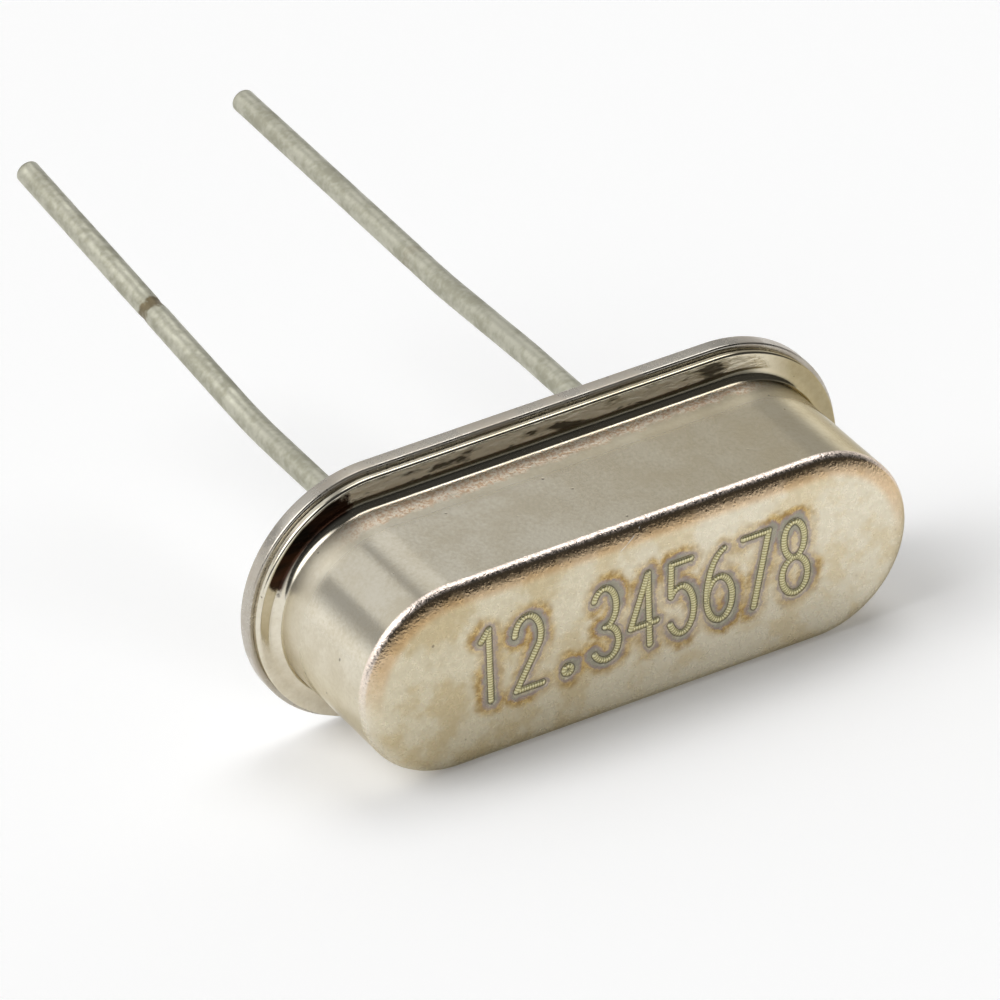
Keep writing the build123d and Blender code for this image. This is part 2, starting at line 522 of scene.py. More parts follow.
def make_grain_group() -> NodeTree:
    """Worn plating: fine grain, broad blotches, small pits, and the relief that they give.

    Its colour is a mix of the bright and the dull tint by broad noise, darkened in the pits, and
    its roughness lies between smooth and rough by the same noise. Its height is grain + blotches
    - pits, each times its own depth.

    Returns:
        The node group.
    """
    inputs = {"place": VECTOR, **PLATING_INPUTS}
    outputs = {"colour": COLOUR, "rough": NUMBER, "height": NUMBER}
    tree, s, given, out = new_group("worn_plating", inputs, outputs)
    grain = s.noise(given["place"], given["grain_scale"], 3.0, 0.6)
    blotch = s.noise(given["place"], given["blotch_scale"], 3.0, 0.55)
    where = {"Vector": given["place"], "Scale": PIT_CELLS}
    cells = s.add("ShaderNodeTexVoronoi", where, feature="F1").outputs
    chance = s.add("ShaderNodeSeparateColor", {0: cells["Color"]}).outputs[0]
    size = s.times(s.span(chance, 0.45, 1.0, 0.0, PIT_RADIUS), given["pits"])
    uneven = s.plus(cells["Distance"], s.centred(grain), 0.12)
    pit = s.span(s.maths("SUBTRACT", uneven, size), 0.02, -0.02)
    pit = s.times(pit, s.span(size, 0.004, 0.02))
    mixed = s.span(s.between(0.35, blotch, grain), 0.36, 0.64)
    tint = s.blend(mixed, given["bright"], given["dull"])
    height = s.plus(s.times(grain, given["grain_depth"]), blotch, given["blotch_depth"])
    s.feed(out["colour"], s.blend(s.times(pit, 0.6), tint, PIT_TINT))
    s.feed(out["rough"], s.between(mixed, given["smooth"], given["rough"]))
    s.feed(out["height"], s.plus(height, pit, -PIT_DEPTH))
    return tree


def make_scratch_group() -> NodeTree:
    """One short scratch: 1 near the segment from start to end, and 0 outside its width.

    With a = place - start and b = end - start, the nearest share along the segment is
    t = clamp(a.b / b.b), and the distance is |a - b t|.

    Returns:
        The node group.
    """
    inputs = {**dict.fromkeys(("place", "start", "end"), VECTOR), "width": NUMBER}
    tree, s, given, out = new_group("scratch", inputs, {"mask": NUMBER})
    a = s.vectors("SUBTRACT", given["place"], given["start"])
    b = s.vectors("SUBTRACT", given["end"], given["start"])
    dots = [s.vectors("DOT_PRODUCT", x, b) for x in (a, b)]
    share = s.maths("DIVIDE", *dots, clamp=True)
    away = s.vectors("LENGTH", s.vectors("SUBTRACT", a, s.scaled(b, share)))
    ratio = s.maths("DIVIDE", away, given["width"])
    s.feed(out["mask"], s.span(ratio, 0.7, 0.3))
    return tree


WORN_PLATING = make_grain_group()
SCRATCH = make_scratch_group()


def new_surface(name: str) -> tuple[Material, Steps, Node]:
    """A new material with its own Principled shader.

    Args:
        name: The material's name.

    Returns:
        The material, its steps and the shader.
    """
    material = bpy.data.materials.new(name)
    material.use_nodes = True
    steps = Steps(material.node_tree)
    return material, steps, material.node_tree.nodes["Principled BSDF"]


def seat_place(steps: Steps, cad: bool = False) -> NodeSocket:
    """The place on the piece in millimetres: its attribute, or a CAD node's Object coordinates.

    Args:
        steps: The material's steps.
        cad: Whether the piece is a CAD node.

    Returns:
        The place.
    """
    if cad:
        return steps.scaled(steps.add("ShaderNodeTexCoord").outputs["Object"], 1 / MM)
    return steps.value_of("seat_place", "Vector")


@dataclass
class Skin:
    """A surface that a shader builds up in layers: its colour, roughness and height."""

    s: Steps
    colour: NodeSocket
    rough: NodeSocket
    height: NodeSocket

    def paint(self, mask: object, colour: object) -> None:
        """Lays a colour over the mask."""
        self.colour = self.s.blend(mask, self.colour, colour)

    def shade(self, mask: object, colour: object) -> None:
        """Multiplies a colour in over the mask."""
        self.colour = self.s.blend(mask, self.colour, colour, "MULTIPLY")

    def roughen(self, mask: object, rough: object) -> None:
        """Sets the roughness over the mask."""
        self.rough = self.s.between(mask, self.rough, rough)

    def raise_by(self, value: object, depth: float) -> None:
        """Adds a value times a depth to the height."""
        self.height = self.s.plus(self.height, value, depth)

    def finish(self, shader: Node, relief: float) -> None:
        """Feeds the shader, whose normal follows the height.

        Args:
            shader: The Principled shader.
            relief: What a height of 1 stands for, in millimetres.
        """
        given = {"Strength": 1.0, "Distance": relief * MM, "Height": self.height}
        bump = self.s.add("ShaderNodeBump", given)
        self.s.feed(shader.inputs["Base Color"], self.colour)
        self.s.feed(shader.inputs["Roughness"], self.rough)
        self.s.feed(shader.inputs["Normal"], bump.outputs[0])


@dataclass(frozen=True)
class Plating:
    """A worn metal finish, in plain linear colours."""

    name: str
    bright: Triple
    dull: Triple
    smooth: float
    rough: float
    grain_scale: float = 14.0
    grain_depth: float = 0.3
    blotch_scale: float = 1.2
    blotch_depth: float = 0.6
    pits: float = 0.5
    relief: float = 0.004

    def skin(self, s: Steps, cad: bool = False) -> Skin:
        """Places the worn plating group with this finish's values.

        Args:
            s: The material's steps.
            cad: Whether the piece is a CAD node.

        Returns:
            The plating's colour, roughness and height.
        """
        values = {name: getattr(self, name) for name in PLATING_INPUTS}
        worn = s.group(WORN_PLATING, place=seat_place(s, cad), **values)
        return Skin(s, worn["colour"], worn["rough"], worn["height"])

    def material(self, cad: bool = False) -> Material:
        """The finish as a material.

        Args:
            cad: Whether the piece is a CAD node.

        Returns:
            The material.
        """
        material, s, shader = new_surface(self.name)
        shader.inputs["Metallic"].default_value = 1.0
        self.skin(s, cad).finish(shader, self.relief)
        return material


# The marking


class Figure(Enum):
    """The plain figures that the marking can show."""

    ONE = "1"
    TWO = "2"
    THREE = "3"
    FOUR = "4"
    FIVE = "5"
    SIX = "6"
    SEVEN = "7"
    EIGHT = "8"
    POINT = "."

    def strokes(self) -> tuple[np.ndarray, ...]:
        """The figure's strokes in a cell 1 wide and 1 high.

        Returns:
            Runs of points, made of straight runs and arcs.
        """
        drawn = {
            Figure.ONE: (line((0.5, 0), (0.5, 1), 8), line((0.5, 1), (0.2, 0.86), 2)),
            Figure.TWO: (
                joined(
                    arc((0.5, 0.72), (0.5, 0.28), 170, -35, 24),
                    line((0.87, 0.54), (0, 0), 6),
                    line((0, 0), (1, 0), 4),
                ),
            ),
            Figure.THREE: (
                joined(
                    arc((0.5, 0.73), (0.45, 0.27), 150, -90, 24),
                    arc((0.5, 0.23), (0.5, 0.23), 90, -150, 24),
                ),
            ),
            Figure.FOUR: (
                line((0.72, 0), (0.72, 1), 8),
                joined(line((0.72, 1), (0, 0.3), 8), line((0, 0.3), (1, 0.3), 4)),
            ),
            Figure.FIVE: (
                joined(
                    line((0.9, 1), (0.15, 1), 3),
                    line((0.15, 1), (0.1, 0.58), 4),
                    arc((0.48, 0.33), (0.5, 0.33), 138, -150, 28),
                ),
            ),
            Figure.SIX: (
                arc((0.5, 0.3), (0.5, 0.3), 0, 360, 32),
                arc((0.95, 0.3), (0.95, 0.7), 180, 105, 12),
            ),
            Figure.SEVEN: (joined(line((0, 1), (1, 1), 4), line((1, 1), (0.35, 0), 8)),),
            Figure.EIGHT: (
                arc((0.5, 0.75), (0.4, 0.25), 0, 360, 28),
                arc((0.5, 0.25), (0.5, 0.25), 0, 360, 28),
            ),
            Figure.POINT: (arc((0.5, 0.05), (0.14, 0.05), 0, 360, 16),),
        }
        return drawn[self]


@dataclass(frozen=True)
class Marking:
    """A plain number cut into the roof by a beam, one figure to a cell."""

    figures: tuple[Figure, ...] = tuple(map(Figure, "12.345678"))
    pitch: float = 0.71
    middle: float = 0.03
    foot: float = -0.585
    width: float = 0.48
    height: float = 1.36
    stroke_width: float = 0.112
    crown: float = 0.012
    depth: float = 0.016
    furrow: float = 0.020
    ridge_pitch: float = 0.048

    def strokes(self) -> list[np.ndarray]:
        """The strokes at their places on the roof.

        Returns:
            Runs of points (u, v).
        """
        placed = []
        for cell, figure in enumerate(self.figures):
            centre = self.middle + (cell - (len(self.figures) - 1) / 2) * self.pitch
            for stroke in figure.strokes():
                u = centre + (stroke[:, 0] - 0.5) * self.width
                placed.append(np.stack([u, self.foot + stroke[:, 1] * self.height], 1))
        return placed

    def measure(self, places: np.ndarray) -> tuple[np.ndarray, np.ndarray]:
        """How far places on the roof are from the nearest stroke, and how far along it that is.

        For a straight piece from p to p + b, the share is t = clamp((x - p).b / b.b) and the
        distance is |x - p - b t|.

        Args:
            places: Points (u, v).

        Returns:
            The distance, at most FAR_FROM_MARK, and the run along the stroke.
        """
        gap = np.full(len(places), FAR_FROM_MARK)
        run = np.zeros(len(places))
        for stroke in self.strokes():
            lengths = run_lengths(stroke)
            low, high = stroke.min(0) - FAR_FROM_MARK, stroke.max(0) + FAR_FROM_MARK
            near = np.flatnonzero(((places > low) & (places < high)).all(1))
            for p, q, at in zip(stroke[:-1], stroke[1:], lengths):
                b = q - p
                a = places[near] - p
                t = np.clip(a @ b / (b @ b), 0, 1)
                d = np.linalg.norm(a - t[:, None] * b, axis=1)
                better = d < gap[near]
                gap[near[better]] = d[better]
                run[near[better]] = at + t[better] * np.linalg.norm(b)
        return gap, run

    def relief(self, gap: np.ndarray) -> np.ndarray:
        """Height of the roof by distance from a stroke: a crowned bead between two furrows.

        The height is crown * sqrt(1 - (gap / half)^2) inside the half width of the stroke, less
        depth * exp(-((gap - half) / furrow)^2) on both sides of its edge.

        Args:
            gap: Distances from the nearest stroke.

        Returns:
            The heights.
        """
        half = self.stroke_width / 2
        bead = self.crown * np.sqrt(np.clip(1 - (gap / half) ** 2, 0, 1))
        return bead - self.depth * np.exp(-(((gap - half) / self.furrow) ** 2))


# The sub-assemblies


class Tint:
    """Plain linear colours of the wear, and of the painted light and shade."""

    # painted shade that warms and darkens the can along its length
    WARM_PAINTED_SHADE = (0.97, 0.94, 0.86)
    # painted shade round the wall's far end
    PAINTED_FAR_END_SHADE = (0.62, 0.58, 0.47)
    ROOF = (0.95, 0.92, 0.82)
    # painted light on the roof
    PAINTED_ROOF_LIGHT = (0.95, 0.90, 0.77)
    CLOUD = (0.95, 0.90, 0.80)
    SPECK = (0.52, 0.42, 0.28)
    # painted highlight on the roof edge's corner
    PAINTED_CORNER_HIGHLIGHT = (0.95, 0.82, 0.72)
    # painted shade on the shoulder below the roof's edge
    PAINTED_SHOULDER_SHADE = (0.94, 0.77, 0.63)
    SCUFF = (0.78, 0.56, 0.36)
    BARE_SCUFF = (1.0, 0.90, 0.76)
    # painted shade in the bend into the flange
    PAINTED_BEND_SHADE = (0.12, 0.11, 0.08)
    DARK_STREAK = (0.16, 0.14, 0.10)
    PALE_STREAK = (1.0, 0.93, 0.76)
    BURNT = (0.015, 0.012, 0.010)
    BURNT_BROWN = (0.05, 0.024, 0.015)
    LIGHT_HALO = (0.60, 0.43, 0.18)
    DARK_HALO = (0.40, 0.25, 0.08)
    GREY = (0.36, 0.35, 0.29)
    VIOLET = (0.27, 0.23, 0.31)
    FURROW = (0.11, 0.10, 0.06)
    DULL_BEAD = (0.50, 0.44, 0.22)
    BRIGHT_BEAD = (0.84, 0.79, 0.50)
    CLAMP_MARK = (0.16, 0.12, 0.06)


@dataclass(frozen=True)
class Scratch:
    """A short scratch: its two ends (u, v, w), its width and how bright it is."""

    start: Triple
    end: Triple
    width: float
    tint: float


@dataclass
class Cover:
    """The drawn can with its welding flange and the number in its roof."""

    half_width: float = 1.73
    half_straight: float = 3.35
    flange_half_width: float = 2.245
    flange_half_straight: float = 3.2
    top: float = 3.29
    sheet: float = 0.17
    flange_under: float = 0.28
    corner_radius: float = 0.15
    shoulder_radius: float = 0.46
    corner_turn: float = 45.0
    foot_radius: float = 0.18
    edge_radius: float = 0.05
    inside_radius: float = 0.10
    lip: float = 0.06
    wall_levels: tuple[float, ...] = (2.9, 2.7, 2.4, 2.0, 1.6, 1.2, 0.95, 0.82, 0.74, 0.68)
    patch_low: Pair = (-3.42, -0.92)
    patch_high: Pair = (3.42, 1.06)
    patch_step: float = 0.0155
    scratches: tuple[Scratch, ...] = (
        Scratch((3.76, 1.73, 2.50), (3.84, 1.71, 3.04), 0.022, 0.08),
        Scratch((0.02, 1.62, 3.24), (-0.36, 1.38, 3.29), 0.014, 0.95),
        Scratch((0.10, 1.70, 3.05), (0.03, 1.62, 3.24), 0.022, 0.95),
        Scratch((0.17, 1.71, 3.05), (0.03, 1.62, 3.24), 0.018, 0.10),
    )
    marking: Marking = field(default_factory=Marking)

    @property
    def corner_level(self) -> float:
        """The level of the corner arc's centre, which is the upper end of the plain wall."""
        sine = math.sin(math.radians(self.corner_turn))
        return self.top - self.corner_radius * sine - self.shoulder_radius * (1 - sine)

    @property
    def foot(self) -> Pair:
        """The radius and level of the centre of the bend at the foot."""
        level = self.flange_under + self.sheet + self.foot_radius
        return self.half_width + self.foot_radius, level

    def profile(self) -> np.ndarray:
        """The sheet's section from the roof, down the wall, round the flange and up inside.

        Returns:
            Rows of radius, level and half straight length.
        """
        cosine = math.cos(math.radians(self.corner_turn))
        corner_r = self.half_width - self.corner_radius
        flat_r = corner_r + (self.corner_radius - self.shoulder_radius) * cosine
        flange_top = self.flange_under + self.sheet
        foot_r, foot_w = self.foot
        inner_r = self.half_width - self.sheet
        ceiling = self.top - self.sheet
        edge_r = self.flange_half_width - self.edge_radius
        edge_w = flange_top - self.edge_radius
        levels = np.r_[self.corner_level - 0.05, self.wall_levels, foot_w]
        round_r, round_w = inner_r - self.inside_radius, ceiling - self.inside_radius
        shoulder_centre = (flat_r, self.top - self.shoulder_radius)
        can_rows = joined(
            line((flat_r - self.lip, self.top), (flat_r, self.top), 2),
            arc(shoulder_centre, self.shoulder_radius, 90, self.corner_turn, 16),
            arc((corner_r, self.corner_level), self.corner_radius, self.corner_turn, 0, 12),
            np.stack([np.full(len(levels), self.half_width), levels], 1),
            arc(self.foot, self.foot_radius, 180, 270, 16),
        )
        rim = joined(
            arc((edge_r, edge_w), self.edge_radius, 90, 0, 8),
            line((self.flange_half_width, edge_w), (self.flange_half_width, self.flange_under), 3),
        )
        inside = joined(
            arc(self.foot, foot_r - inner_r, 270, 180, 10),
            line((inner_r, foot_w), (inner_r, round_w), 4),
            arc((round_r, round_w), self.inside_radius, 0, 90, 6),
            line((round_r, ceiling), (round_r - 0.1, ceiling), 1),
        )
        at_foot = (foot_r, self.half_straight)
        at_edge = (edge_r, self.flange_half_straight)
        at_rim = (self.flange_half_width, self.flange_half_straight)
        return joined(
            with_straight(can_rows, self.half_straight),
            flat_band(at_foot, at_edge, flange_top, 8),
            with_straight(rim, self.flange_half_straight),
            flat_band(at_rim, at_foot, self.flange_under, 8),
            with_straight(inside, self.half_straight),
        )

    def section_runs(self) -> Triple:
        """How far along the section the roof's edge ends, and the flange starts and ends.

        Returns:
            The runs from the section's start, in millimetres.
        """
        turn = math.radians(self.corner_turn)
        edge = self.shoulder_radius * (math.pi / 2 - turn) + self.corner_radius * turn
        edge_end = self.lip + edge
        foot_r, foot_w = self.foot
        flat_start = edge_end + self.corner_level - foot_w + self.foot_radius * math.pi / 2
        flat = self.flange_half_width - self.edge_radius - foot_r
        return edge_end, flat_start, flat_start + flat

    def roof_patch(self) -> np.ndarray:
        """The fine grid that carries the number, still flat.

        Returns:
            The points (u, v, w), rows by columns by 3.
        """
        u = np.arange(self.patch_low[0], self.patch_high[0], self.patch_step)
        v = np.arange(self.patch_low[1], self.patch_high[1], self.patch_step)
        return np.stack([*np.meshgrid(u, v), np.full((len(v), len(u)), self.top)], 2)

    def build(self) -> Object:
        """Joins the roof's fine grid to the surface carried round the can.

        Returns:
            The cover.
        """
        profile = self.profile()
        rings = ring_surface(profile)
        patch = self.roof_patch()
        rows, columns = patch.shape[:2]
        flat_patch = patch.reshape(-1, 3)
        gap, run = self.marking.measure(flat_patch[:, :2])
        flat_patch[:, 2] += self.marking.relief(gap)
        start = len(flat_patch)
        ring_points = rings.reshape(-1, 3)
        points = np.concatenate([flat_patch, ring_points])
        numbers = np.arange(start).reshape(rows, columns)
        sides = [numbers[0, :-1], numbers[:-1, -1], numbers[-1, :0:-1], numbers[:0:-1, 0]]
        border = np.concatenate(sides)
        centre = (flat_patch[border, :2].min(0) + flat_patch[border, :2].max(0)) / 2
        around = rings.shape[1]
        faces = [
            grid_faces(rows, columns, around=False),
            zip_loops(start + np.arange(around), border, points, tuple(centre)),
            grid_faces(len(profile), around, start),
            (start + (len(profile) - 1) * around + np.arange(around))[None, :],
        ]
        band = np.repeat(run_lengths(profile[:, :2]), around)
        values = {
            "mark_gap": np.r_[gap, np.full(len(ring_points), FAR_FROM_MARK)],
            "mark_run": np.r_[run, np.zeros(len(ring_points))],
            "band": np.r_[np.full(start, -1.0), band],
        }
        return make_piece("cover_shell", points, faces, values)

    def dress(self, piece: Object, plating: Plating) -> None:
        """Gives the can its plating, and the wear and the painted light and shade of each of its
        zones.

        Args:
            piece: The cover.
            plating: Its finish.
        """
        material, s, shader = new_surface(plating.name)
        shader.inputs["Metallic"].default_value = 1.0
        shader.inputs["Specular Tint"].default_value = (0.70, 0.66, 0.56, 1)
        plain = plating.skin(s)
        skin = CanSkin(s, plain.colour, plain.rough, plain.height, self)
        skin.wall()
        skin.roof()
        skin.edge()
        skin.scuffs()
        skin.flange()
        skin.stain()
        skin.scratches()
        skin.number()
        skin.finish(shader, plating.relief)
        piece.data.materials.append(material)
        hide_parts("cover")
        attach(piece, "root")


@dataclass
class CanSkin(Skin):
    """The cover's skin, with one method for each zone of the can.

    along, across and level are u, v and w. band is the run along the sheet's section from the
    roof outwards, in millimetres, and edge_end, flat_start and flat_end are places on it.
    """

    cover: Cover

    def __post_init__(self) -> None:
        """Reads the places, and the noises that more than one zone uses."""
        s = self.s
        self.place = seat_place(s)
        self.along, self.across, self.level = s.split(self.place)
        self.band = s.value_of("band")
        self.edge_end, self.flat_start, self.flat_end = self.cover.section_runs()
        self.fine = s.noise(self.place, 22.0, 2.0, 0.6)
        self.specks = s.noise(self.place, 8.0, 5.0, 0.72)
        self.ragged = s.centred(s.noise(self.place, 3.0, 4.0, 0.7))
        self.streak_place = s.vectors("MULTIPLY", self.place, (0.45, 1.6, 1.6))
        self.press = s.noise(self.streak_place, 2.6, 3.0, 0.6)

    def wall(self) -> None:
        """Painted shade makes the wall warmer and darker along the can, and darker still round its
        far end.
        """
        s = self.s
        # Painted shade: the can grows warmer and darker towards its far end.
        self.shade(s.span(self.along, -3.4, 3.4), Tint.WARM_PAINTED_SHADE)
        # Painted shade: a darker tint round the wall's far end, against its bright reflection.
        far_end_shade = s.times(s.span(self.along, 3.9, 4.7), s.span(self.level, 3.2, 3.0))
        self.shade(far_end_shade, Tint.PAINTED_FAR_END_SHADE)

    def roof(self) -> None:
        """The roof is cloudy, satin and specked, with painted light that brightens it towards its
        far end.
        """
        s, top = self.s, self.cover.top
        roof = s.span(self.level, top - 0.16, top - 0.01)
        self.shade(roof, Tint.ROOF)
        # Painted light: the roof is brightened towards its far end.
        self.paint(s.times(roof, s.span(self.along, -3.5, 2.0, 0.05, 0.55)), Tint.PAINTED_ROOF_LIGHT)
        cloud = s.noise(self.place, 1.2, 4.0, 0.62)
        self.shade(s.times(roof, s.span(cloud, 0.46, 0.62)), Tint.CLOUD)
        self.paint(s.times(roof, s.span(self.specks, 0.62, 0.74, 0.0, 0.4)), Tint.SPECK)
        self.roughen(roof, s.between(s.span(self.specks, 0.40, 0.62), 0.24, 0.44))
        self.raise_by(s.times(roof, s.centred(self.fine)), 0.7)

    def edge(self) -> None:
        """The roof's edge is a rough corner with a painted pinkish highlight on its upper side,
        above a grained shoulder darkened brown by painted shade.
        """
        s, end = self.s, self.edge_end
        upper = s.span(self.across, -0.4, 0.9)
        corner = s.window(self.band, (end - 0.16, end - 0.10), (end - 0.01, end + 0.03))
        # Painted highlight: a bright pinkish tint on the upper side of the corner.
        self.paint(s.times(corner, upper), Tint.PAINTED_CORNER_HIGHLIGHT)
        self.roughen(corner, s.between(s.span(self.fine, 0.38, 0.6), 0.16, 0.46))
        shoulder = s.window(self.band, (0.02, 0.20), (end - 0.16, end - 0.10))
        # Painted shade: the upper side of the shoulder is darkened brown.
        self.shade(s.times(shoulder, upper), Tint.PAINTED_SHOULDER_SHADE)
        both = s.maths("MAXIMUM", corner, shoulder)
        self.raise_by(s.times(both, s.centred(self.fine)), 2.6)

    def scuffs(self) -> None:
        """A scuffed, flecked strip runs along the foot of the wall, in a satin zone."""
        s = self.s
        fleck = s.noise(self.place, 20.0, 3.0, 0.7)
        strip_end = s.span(self.along, -3.6, 4.0, 1.04, 0.86)
        below = s.maths("SUBTRACT", strip_end, s.plus(self.level, self.ragged, 0.42))
        upto = s.maths("MULTIPLY", below, 9.0, clamp=True)
        sides = s.window(self.along, (-4.4, -3.3), (3.4, 4.3))
        strip = s.times(s.span(self.level, 0.55, 0.62), upto, sides)
        self.paint(strip, s.blend(s.span(fleck, 0.40, 0.58), Tint.SCUFF, Tint.BARE_SCUFF))
        self.roughen(s.window(self.level, (0.55, 0.64), (0.98, 1.34)), 0.40)
        self.raise_by(s.times(strip, s.centred(fleck)), 2.6)

    def flange(self) -> None:
        """The bend into the flange is darkened by painted shade, and the flange is streaked along
        its length.
        """
        s, start, end = self.s, self.flat_start, self.flat_end
        ends = s.window(self.along, (-5.0, -4.4), (3.5, 4.3))
        front = s.times(s.span(self.across, 1.2, 1.6), ends)
        bend = s.window(self.band, (start - 0.13, start - 0.07), (start + 0.02, start + 0.10))
        # Painted shade: the bend into the flange is darkened nearly black on its upper side.
        self.paint(s.times(bend, s.span(front, 0.0, 1.0, 0.0, 0.9)), Tint.PAINTED_BEND_SHADE)
        flat = s.window(self.band, (start, start + 0.04), (end - 0.02, end + 0.02))
        flat = s.times(flat, front)
        self.paint(s.times(flat, s.span(self.press, 0.44, 0.38)), Tint.DARK_STREAK)
        self.paint(s.times(flat, s.span(self.press, 0.44, 0.50)), Tint.PALE_STREAK)
        self.roughen(flat, 0.42)
        grooves = s.centred(s.noise(self.streak_place, 8.0, 3.0, 0.6))
        self.raise_by(s.times(flat, grooves), 6.0)

    def stain(self) -> None:
        """A burnt, nearly black stain lies in the flange's near left corner."""
        s, start, end = self.s, self.flat_start, self.flat_end
        off = s.plus(s.vectors("DISTANCE", self.place, (-4.62, 1.62, 0.45)), self.ragged, 0.7)
        strip = s.window(self.band, (start - 0.16, start - 0.08), (end - 0.03, end))
        burnt = s.blend(s.span(self.press, 0.35, 0.6), Tint.BURNT, Tint.BURNT_BROWN)
        self.paint(s.times(s.span(off, 1.05, 0.88), strip), burnt)

    def scratches(self) -> None:
        """A few scratches, dark on the wall and light on the roof's edge."""
        for scratch in self.cover.scratches:
            values = {name: getattr(scratch, name) for name in ("start", "end", "width")}
            mask = self.s.group(SCRATCH, place=self.place, **values)["mask"]
            self.paint(self.s.times(mask, 0.8), [scratch.tint] * 3)
            self.raise_by(mask, -0.5)

    def number(self) -> None:
        """Ridged golden beads, dark furrows, greyish violet metal and a spotted brown halo."""
        s, marking = self.s, self.cover.marking
        half = marking.stroke_width / 2
        gap, run = s.value_of("mark_gap"), s.value_of("mark_run")
        spots = s.centred(s.noise(self.place, 7.0, 4.0, 0.7))
        patches = s.noise(self.place, 1.3, 2.0, 0.5)
        ragged = s.plus(s.plus(gap, spots, 0.20), s.centred(patches), -0.30)
        strength = s.between(s.span(patches, 0.38, 0.60), 0.45, 0.95)
        halo = s.blend(s.span(self.specks, 0.4, 0.6), Tint.LIGHT_HALO, Tint.DARK_HALO)
        self.paint(s.times(s.span(ragged, half + 0.30, half + 0.12), strength), halo)
        strength = s.between(s.span(patches, 0.36, 0.56), 0.3, 0.9)
        self.paint(s.times(s.span(ragged, half + 0.10, half + 0.04), strength), Tint.GREY)
        ring = s.window(ragged, (half + 0.03, half + 0.07), (half + 0.085, half + 0.125))
        self.paint(s.times(ring, 0.45), Tint.VIOLET)
        furrow = s.window(gap, (half - 0.016, half), (half + 0.006, half + 0.020))
        self.paint(s.times(furrow, 0.75), Tint.FURROW)
        bead = s.span(gap, half + 0.002, half - 0.014)
        ridge = s.maths("SINE", s.times(run, 2 * math.pi / marking.ridge_pitch))
        self.paint(bead, s.blend(s.span(ridge, -0.9, 0.7), Tint.DULL_BEAD, Tint.BRIGHT_BEAD))
        self.roughen(bead, 0.36)
        self.raise_by(s.times(bead, ridge), 0.6)


@dataclass
class Base:
    """The stamped plate under the can: flange, raised middle and two holes."""

    flange_half_width: float = 2.325
    flange_half_straight: float = 3.2
    flange_top: float = 0.28
    edge_radius: float = 0.04
    plinth_half_width: float = 1.44
    plinth_half_straight: float = 3.35
    plinth_edge_radius: float = 0.15
    hole_field: float = 1.0
    hole_columns: int = 72

    def profile(self) -> np.ndarray:
        """The plate's section, from the field of the holes below, round the rim, to that above.

        Returns:
            Rows of radius, level and half straight length.
        """
        edge_r = self.flange_half_width - self.edge_radius
        top_r = self.plinth_half_width - self.plinth_edge_radius
        top_w = PLINTH_TOP - self.plinth_edge_radius
        rim = joined(
            arc((edge_r, self.edge_radius), self.edge_radius, -90, 0, 6),
            arc((edge_r, self.flange_top - self.edge_radius), self.edge_radius, 0, 90, 6),
        )
        plinth = joined(
            line((self.plinth_half_width, self.flange_top), (self.plinth_half_width, top_w), 4),
            arc((top_r, top_w), self.plinth_edge_radius, 0, 90, 8),
        )
        at_field = (self.hole_field, LEAD_OFFSET)
        at_edge = (edge_r, self.flange_half_straight)
        at_plinth = (self.plinth_half_width, self.plinth_half_straight)
        return joined(
            flat_band(at_field, at_edge, 0.0, 6),
            with_straight(rim, self.flange_half_straight),
            flat_band(at_edge, at_plinth, self.flange_top, 6),
            with_straight(plinth, self.plinth_half_straight),
            flat_band((top_r, self.plinth_half_straight), at_field, PLINTH_TOP, 6),
        )

    def build(self) -> Object:
        """Carries the section round and fills the fields round the holes.

        Returns:
            The base.
        """
        profile = self.profile()
        rings = ring_surface(profile)
        around = rings.shape[1]
        middle = SIDE_COLUMNS // 2
        cross = np.linspace(self.hole_field, -self.hole_field, 13)[1:-1]
        turn = np.linspace(0, 2 * np.pi, self.hole_columns, endpoint=False)
        circle = np.stack([np.cos(turn), np.sin(turn)], 1) * HOLE_RADIUS
        blocks: list[np.ndarray] = []
        holes: list[np.ndarray] = []
        faces = [grid_faces(len(profile), around)]

        def put(points: np.ndarray) -> np.ndarray:
            """Adds points and gives their numbers."""
            blocks.append(points)
            return sum(map(len, blocks[:-1])) + np.arange(len(points))

        put(rings.reshape(-1, 3))
        for row, level in ((0, 0.0), (len(profile) - 1, PLINTH_TOP)):
            spine = put(np.stack([0 * cross, cross, np.full(len(cross), level)], 1))
            for side in (1, -1):
                centre = (side * LEAD_OFFSET, 0.0)
                hole = put(np.c_[circle + centre, np.full(len(circle), level)])
                first = middle if side > 0 else middle + around // 2
                columns = (first + np.arange(around // 2 + 1)) % around
                outer = np.r_[row * around + columns, spine[::-side]]
                faces.append(zip_loops(outer, hole, np.concatenate(blocks), centre))
                holes.append(hole)
        for low, high in zip(holes[:2], holes[2:]):
            faces.append(np.stack([low, np.roll(low, -1), np.roll(high, -1), high], 1))
        return make_piece("base_plate", np.concatenate(blocks), faces)

    def dress(self, piece: Object, plating: Plating) -> None:
        """Gives the base its plating.

        Args:
            piece: The base.
            plating: Its finish.
        """
        piece.data.materials.append(plating.material())
        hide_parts("base")
        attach(piece, "root")


